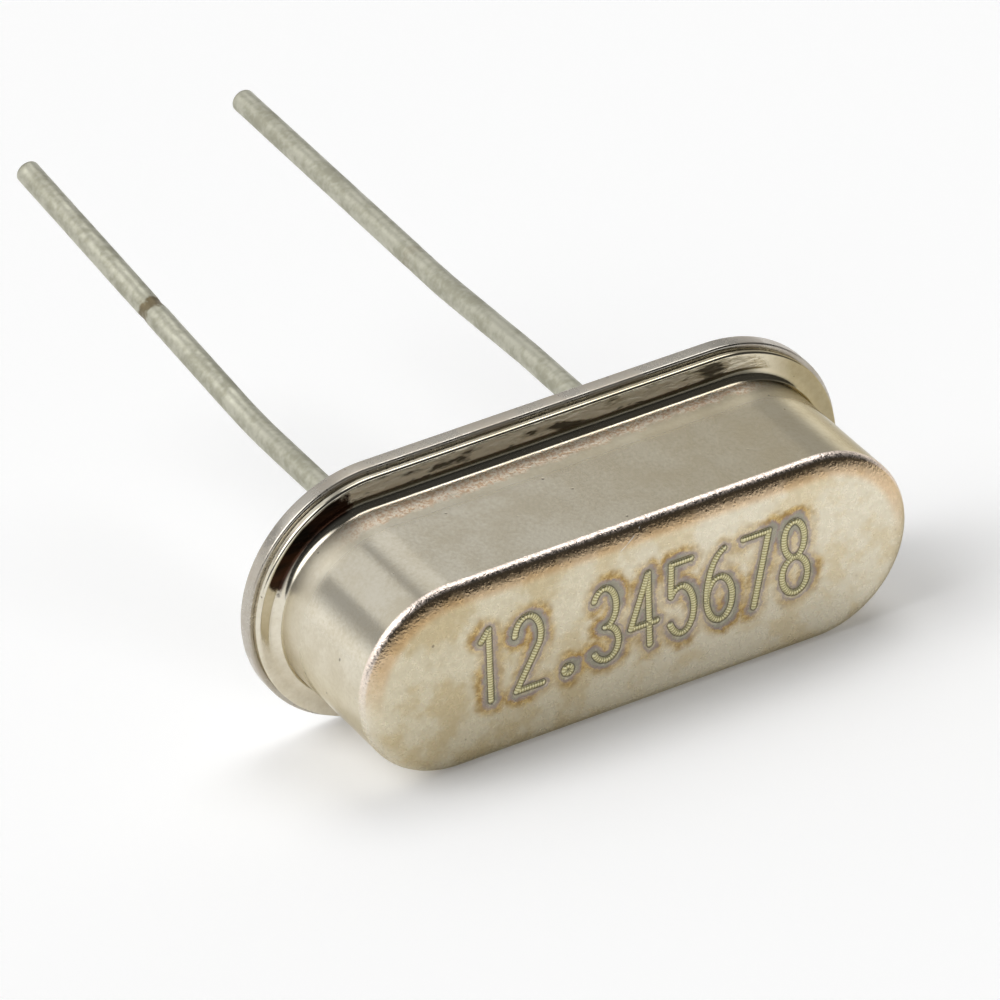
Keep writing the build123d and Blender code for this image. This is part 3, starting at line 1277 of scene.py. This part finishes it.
@dataclass
class GlassSeal:
    """A bead of fused glass that holds one lead in its hole."""

    side: int
    name: str
    dip: float = 0.05
    columns: int = 64

    def build(self) -> Object:
        """Turns the bead's closed section round the wire.

        The dips are w = dip * 4 x (1 - x) below and PLINTH_TOP - dip * 4 x (1 - x) above, with x
        from 0 at the wire to 1 at the hole.

        Returns:
            The seal.
        """
        x = np.linspace(0, 1, 13)
        bow = self.dip * 4 * x * (1 - x)
        r = BARE_RADIUS + (HOLE_RADIUS - BARE_RADIUS) * x
        levels = np.r_[bow, (PLINTH_TOP - bow)[::-1]]
        route = np.stack([-levels, 0 * levels], 1)
        across = np.tile((0.0, 1.0), (len(levels), 1))
        points = tube(self.side, route, across, np.r_[r, r[::-1]], self.columns)
        faces = [grid_faces(len(levels), self.columns, closed=True)]
        return make_piece(self.name, points.reshape(-1, 3), faces)

    def dress(self, piece: Object, material: Material, node: str) -> None:
        """Gives the seal its dark glass.

        Args:
            piece: The seal.
            material: The glass.
            node: The CAD node that it stands for.
        """
        piece.data.materials.append(material)
        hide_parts(node)
        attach(piece, "root")


@dataclass
class Lead:
    """A coated wire with slight bends outside, bare wire in the glass and a flat head inside."""

    side: int
    name: str
    corners: tuple[Pair, ...]
    clamp_at: float
    clamp_strength: float
    clamp_width: float = 0.12
    waves: tuple[Pair, Pair] = ((0.006, 2.1), (0.004, 5.3))
    radius: float = 0.215
    bend_radius: float = 12.0
    head_radius: float = 0.4
    head_bottom: float = 1.06
    head_top: float = 1.18
    head_edge: float = 0.02
    tip_chamfer: float = 0.04
    columns: int = 40

    def route(self) -> np.ndarray:
        """The wire's middle line outside: straight runs joined by arcs of one radius.

        At a corner with unit directions a before and b after, the arc starts at corner - a * k and
        ends at corner + b * k, with k = radius * tan(half the turn), and a point of it is
        corner - a * k + radius * (sin f * a + (1 - cos f) * n), n being a's normal on b's side.

        Returns:
            Points (out of the base, across), from the seating face to the tip.
        """
        knots = np.array(((0.0, 0.0), *self.corners))
        runs = []
        start = knots[0]
        for before, at, after in zip(knots[:-2], knots[1:-1], knots[2:]):
            a = (at - before) / np.linalg.norm(at - before)
            b = (after - at) / np.linalg.norm(after - at)
            turn = math.acos(min(1.0, float(a @ b)))
            normal = (b - a * (a @ b)) / max(np.linalg.norm(b - a * (a @ b)), 1e-12)
            k = self.bend_radius * math.tan(turn / 2)
            f = np.linspace(0, turn, 9)[:, None]
            bend = at - a * k + self.bend_radius * (np.sin(f) * a + (1 - np.cos(f)) * normal)
            runs += [line(tuple(start), tuple(bend[0]), 90), bend]
            start = bend[-1]
        runs.append(line(tuple(start), tuple(knots[-1]), 160))
        return joined(*runs)

    def head(self) -> np.ndarray:
        """The flat head and the bare wire below it.

        Returns:
            Rows of level and radius.
        """
        top, low, r, edge = self.head_top, self.head_bottom, self.head_radius, self.head_edge
        upper = [(top, r - 0.1), (top, r - edge), (top - edge, r)]
        lower = [(low + edge, r), (low, r - edge), (low, BARE_RADIUS), (0.0, BARE_RADIUS)]
        return np.array(upper + lower)

    def tip(self) -> np.ndarray:
        """The tip's chamfer and end face: rows of distance from the end and loss of radius."""
        c = self.tip_chamfer
        return np.array([(c, 0.0), (0.012, 0.7 * c), (0.0, c), (0.0, self.radius / 2)])

    def build(self) -> Object:
        """Makes the wire's tube from its head to its tip.

        Outside, its radius is the coat's times (1 + small waves), narrowed at the clamp mark.

        Returns:
            The lead.
        """
        route = self.route()
        along = run_lengths(route)
        total = along[-1]
        tangent = np.gradient(route, along, axis=0)
        tangent /= np.linalg.norm(tangent, axis=1)[:, None]
        (long, slow), (short, quick) = self.waves
        waves = long * np.sin(along * slow + self.side) + short * np.sin(along * quick + 1.0)
        clamp = self.clamp_strength * np.exp(-(((along - self.clamp_at) / self.clamp_width) ** 2))
        radius = self.radius * (1 + np.minimum(waves, 0.0) - clamp)
        keep = along < total - self.tip_chamfer * 1.5
        route, tangent, along, radius = route[keep], tangent[keep], along[keep], radius[keep]
        levels, head_radii = self.head().T
        back, loss = self.tip().T
        tip = route[-1] + tangent[-1] * (total - along[-1] - back[:, None])
        points = np.concatenate([np.stack([-levels, 0 * levels], 1), route, tip])
        head_tangent = np.tile((1.0, 0.0), (len(levels), 1))
        tangents = np.concatenate([head_tangent, tangent, np.tile(tangent[-1], (len(back), 1))])
        radii = np.r_[head_radii, radius, radius[-1] - loss]
        across = np.stack([-tangents[:, 1], tangents[:, 0]], 1)
        surface = tube(self.side, points, across, radii, self.columns)
        numbers = np.arange(len(radii) * self.columns).reshape(len(radii), self.columns)
        faces = [grid_faces(len(radii), self.columns), numbers[:1], numbers[-1:]]
        run = np.repeat(run_lengths(points), self.columns)
        return make_piece(self.name, surface.reshape(-1, 3), faces, {"wire_run": run})

    def dress(self, piece: Object, plating: Plating, node: str) -> None:
        """Gives the lead its dull coat, with the brown mark where a clamp held it.

        Args:
            piece: The lead.
            plating: Its finish.
            node: The CAD node that it stands for.
        """
        material, s, shader = new_surface(f"{plating.name}_{node}")
        shader.inputs["Metallic"].default_value = 1.0
        skin = plating.skin(s)
        ragged = s.plus(s.value_of("wire_run"), s.centred(s.noise(seat_place(s), 5.0)), 0.5)
        at = self.clamp_at + self.head_top
        mark = s.window(ragged, (at - 0.18, at - 0.08), (at + 0.08, at + 0.18))
        skin.paint(s.times(mark, min(1.0, self.clamp_strength * 12)), Tint.CLAMP_MARK)
        skin.finish(shader, plating.relief)
        piece.data.materials.append(material)
        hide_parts(node)
        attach(piece, "root")


@dataclass(frozen=True)
class Glassy:
    """A clear or dark glass with faint streaks."""

    name: str
    colour: Triple
    streak: Triple
    roughness: float
    transmission: float
    index: float = 1.52

    def material(self, cad: bool) -> Material:
        """The glass as a material.

        Args:
            cad: Whether the piece is a CAD node.

        Returns:
            The material.
        """
        material, s, shader = new_surface(self.name)
        shader.inputs["Roughness"].default_value = self.roughness
        shader.inputs["Transmission Weight"].default_value = self.transmission
        shader.inputs["IOR"].default_value = self.index
        cloud = s.span(s.noise(seat_place(s, cad), 3.0, 3.0), 0.4, 0.65)
        s.feed(shader.inputs["Base Color"], s.blend(cloud, self.colour, self.streak))
        return material


@dataclass(frozen=True)
class Paste:
    """A filled adhesive: dull grains in a binder."""

    name: str
    colour: Triple
    dark: Triple

    def material(self, cad: bool) -> Material:
        """The adhesive as a material.

        Args:
            cad: Whether the piece is a CAD node.

        Returns:
            The material.
        """
        material, s, shader = new_surface(self.name)
        shader.inputs["Metallic"].default_value = 0.35
        grain = s.noise(seat_place(s, cad), 22.0, 3.0, 0.6)
        colour = s.blend(s.span(grain, 0.4, 0.62), self.colour, self.dark)
        Skin(s, colour, s.between(grain, 0.45, 0.7), grain).finish(shader, 0.01)
        return material


@dataclass
class Works:
    """What stands inside the can: spring clips, crystal strip, metal films and adhesive."""

    clip: Plating = Plating(
        "rolled_spring", (0.75, 0.71, 0.62), (0.62, 0.58, 0.49), 0.18, 0.3, grain_scale=9.0
    )
    quartz: Glassy = Glassy(
        "lapped_crystal", (0.92, 0.94, 0.95), (0.86, 0.89, 0.90), 0.25, 1.0, 1.544
    )
    electrode: Plating = Plating(
        "silver_film", (0.90, 0.89, 0.86), (0.80, 0.79, 0.75), 0.12, 0.22, pits=0.0
    )
    adhesive: Paste = Paste("filled_adhesive", (0.62, 0.60, 0.56), (0.38, 0.36, 0.32))

    def dress(self) -> None:
        """Gives each CAD node inside the can the finish that its name begins with."""
        for kind, finish in vars(self).items():
            material = finish.material(True)
            for node, piece in frame["nodes"].items():
                if node.startswith(kind):
                    piece.data.materials.clear()
                    piece.data.materials.append(material)


# The studio


@dataclass(frozen=True)
class SoftPatch:
    """A bright cloth of the studio: where it hangs, how wide it is and how bright."""

    bearing: float
    elevation: float
    inner: float
    outer: float
    strength: float

    def direction(self) -> Triple:
        """Unit vector: bearing 0 is behind the part, 90 to its right."""
        b, e = math.radians(self.bearing), math.radians(self.elevation)
        return math.cos(e) * math.sin(b), math.cos(e) * math.cos(b), math.sin(e)


@dataclass
class Studio:
    """Camera, floor and the soft light all round."""

    floor_half: float = 1.5
    floor_colour: float = 0.95
    floor_glow: float = 0.14
    dim_share: float = 0.44
    dim_along: Pair = (-0.006, 0.004)
    dim_front: Pair = (-0.005, -0.035)
    front_level: float = 0.05
    back_level: float = 0.37
    back_span: Pair = (-0.1, 0.45)
    low_back: float = 0.62
    low_span: Pair = (0.46, 0.14)
    horizon_level: float = 0.97
    horizon_span: Pair = (0.09, 0.06)
    camera_turn: tuple[Triple, ...] = (
        (0.8619, -0.0299, 0.5063),
        (-0.2999, -0.8351, 0.4612),
        (0.409, -0.5493, -0.7287),
    )
    camera_shift: Triple = (0.605, 0.344, 160.986)
    focal_share: float = 9.9331
    sensor: float = 36.0
    patches: tuple[SoftPatch, ...] = (
        SoftPatch(19, 46, 7, 14.5, 0.38),
        SoftPatch(-28, 48, 12, 18.5, 0.34),
        SoftPatch(68, 70, 13, 23, 2.4),
        SoftPatch(-88, 46, 10, 34, 3.1),
    )

    def camera(self) -> None:
        """Sets the camera where the photograph's was: 16 cm away, with a long lens.

        The rows of camera_turn are the picture's right, its down and the way the camera looks, all
        in (u, v, w), and camera_shift is where the part's origin lies by these three directions.
        The nearest true rotation is taken from the singular value form.
        """
        left, _, right = np.linalg.svd(np.array(self.camera_turn))
        turn = left @ right
        columns = np.stack([turn[0], -turn[1], -turn[2]]) @ SEAT.axes()
        view = bpy.data.cameras.new("studio_camera")
        view.sensor_width = self.sensor
        view.lens = self.focal_share * self.sensor
        view.clip_start = 0.001
        view.clip_end = 20.0
        camera = linked("studio_camera", view)
        pose = Matrix(columns.T.tolist()).to_4x4()
        pose.translation = Vector(SEAT.place(-turn.T @ np.array(self.camera_shift)))
        camera.matrix_world = pose
        bpy.context.scene.camera = camera

    def shown_background(self, s: Steps) -> NodeSocket:
        """1 for what the camera, a mirror or a glass sees, and 0 for what lights dull things.

        Args:
            s: The steps of the tree that asks.

        Returns:
            The mask.
        """
        path = s.add("ShaderNodeLightPath").outputs
        seen = s.maths("MAXIMUM", path["Is Camera Ray"], path["Is Glossy Ray"])
        return s.maths("MAXIMUM", seen, path["Is Transmission Ray"])

    def world(self) -> None:
        """Lights by direction: dark in front, grey behind, white low down, and bright cloths."""
        world = bpy.data.worlds.new("studio")
        world.use_nodes = True
        bpy.context.scene.world = world
        s = Steps(world.node_tree)
        ground = world.node_tree.nodes["Background"]
        ground.inputs["Color"].default_value = (1, 1, 1, 1)
        direction = s.vectors("NORMALIZE", s.add("ShaderNodeTexCoord").outputs["Generated"])
        _, back, up = s.split(direction)
        behind = s.span(back, *self.back_span)
        level = s.plus(self.front_level, behind, self.back_level)
        low = s.times(behind, s.span(up, *self.low_span))
        level = s.plus(level, low, self.low_back)
        for patch in self.patches:
            near = s.vectors("DOT_PRODUCT", direction, patch.direction())
            edges = (math.cos(math.radians(angle)) for angle in (patch.outer, patch.inner))
            level = s.plus(level, s.span(near, *edges), patch.strength)
        horizon = s.span(s.maths("ABSOLUTE", up), *self.horizon_span)
        camera_ray = s.add("ShaderNodeLightPath").outputs["Is Camera Ray"]
        shown = s.maths("MAXIMUM", camera_ray, s.times(behind, self.shown_background(s)))
        level = s.between(s.times(horizon, shown), level, self.horizon_level)
        s.feed(ground.inputs["Strength"], level)

    def floor(self) -> None:
        """A pale, faintly glowing floor under the part's lowest point.

        Mirror rays see it dimmed in front of the part, as the dark side of a real studio.
        """
        z = cad_box[0][2]
        h = self.floor_half
        mesh = bpy.data.meshes.new("studio_floor")
        mesh.from_pydata([(-h, -h, z), (h, -h, z), (h, h, z), (-h, h, z)], [], [(0, 1, 2, 3)])
        floor = linked("studio_floor", mesh)
        material, s, shader = new_surface("studio_floor")
        shader.inputs["Roughness"].default_value = 0.9
        shader.inputs["Specular IOR Level"].default_value = 0.0
        shader.inputs["Emission Color"].default_value = (1, 1, 1, 1)
        x, y, _ = s.split(s.add("ShaderNodeTexCoord").outputs["Object"])
        mirrored = s.add("ShaderNodeLightPath").outputs["Is Glossy Ray"]
        front = s.span(y, *self.dim_front, 0.0, self.dim_share)
        dim = s.times(mirrored, front, s.span(x, *self.dim_along))
        pale = [self.floor_colour] * 3
        s.feed(shader.inputs["Base Color"], s.blend(dim, pale, (0.0, 0.0, 0.0)))
        glow = s.times(self.shown_background(s), self.floor_glow)
        glow = s.times(glow, s.maths("SUBTRACT", 1.0, dim))
        s.feed(shader.inputs["Emission Strength"], glow)
        mesh.materials.append(material)

    def build(self) -> None:
        """Sets camera, world and floor, and the plain view transform."""
        bpy.context.scene.view_settings.view_transform = "Standard"
        self.camera()
        self.world()
        self.floor()


def report(*pieces: Object) -> None:
    """Logs finished pieces, each with its number of faces."""
    for piece in pieces:
        log.info("%s: %d faces", piece.name, len(piece.data.polygons))


def main() -> None:
    """Builds and dresses every piece, logs their numbers of faces, and sets up the studio."""
    logging.basicConfig(level=logging.INFO, format="%(name)s: %(message)s")
    can_plating = Plating(
        "can_plating", (0.76, 0.71, 0.59), (0.66, 0.60, 0.47), 0.10, 0.18, pits=1.0
    )
    base_plating = Plating("base_plating", (0.54, 0.51, 0.45), (0.48, 0.43, 0.36), 0.20, 0.40)
    lead_plating = Plating(
        "lead_plating",
        (0.52, 0.51, 0.42),
        (0.40, 0.39, 0.31),
        0.42,
        0.60,
        grain_scale=8.0,
        blotch_scale=2.0,
        relief=0.012,
    )
    dark_glass = Glassy("seal_glass", (0.03, 0.05, 0.06), (0.05, 0.07, 0.08), 0.08, 0.0)
    seal_glass = dark_glass.material(False)

    cover = Cover()
    shell = cover.build()
    cover.dress(shell, can_plating)
    base = Base()
    plate = base.build()
    base.dress(plate, base_plating)
    report(shell, plate)

    leads = (
        Lead(-1, "lead_wire_left", ((5.0, 0.0), (12.88, 0.88)), 8.5, 0.07),
        Lead(1, "lead_wire_right", ((4.4, 0.0), (7.2, -0.11), (14.18, 0.02)), 8.15, 0.02),
    )
    for lead, side in zip(leads, ("left", "right")):
        wire = lead.build()
        lead.dress(wire, lead_plating, f"lead_{side}")
        seal = GlassSeal(lead.side, f"glass_bead_{side}")
        bead = seal.build()
        seal.dress(bead, seal_glass, f"glass_seal_{side}")
        report(wire, bead)

    Works().dress()
    log.info("inner works dressed")
    Studio().build()


if __name__ == "__main__":
    main()
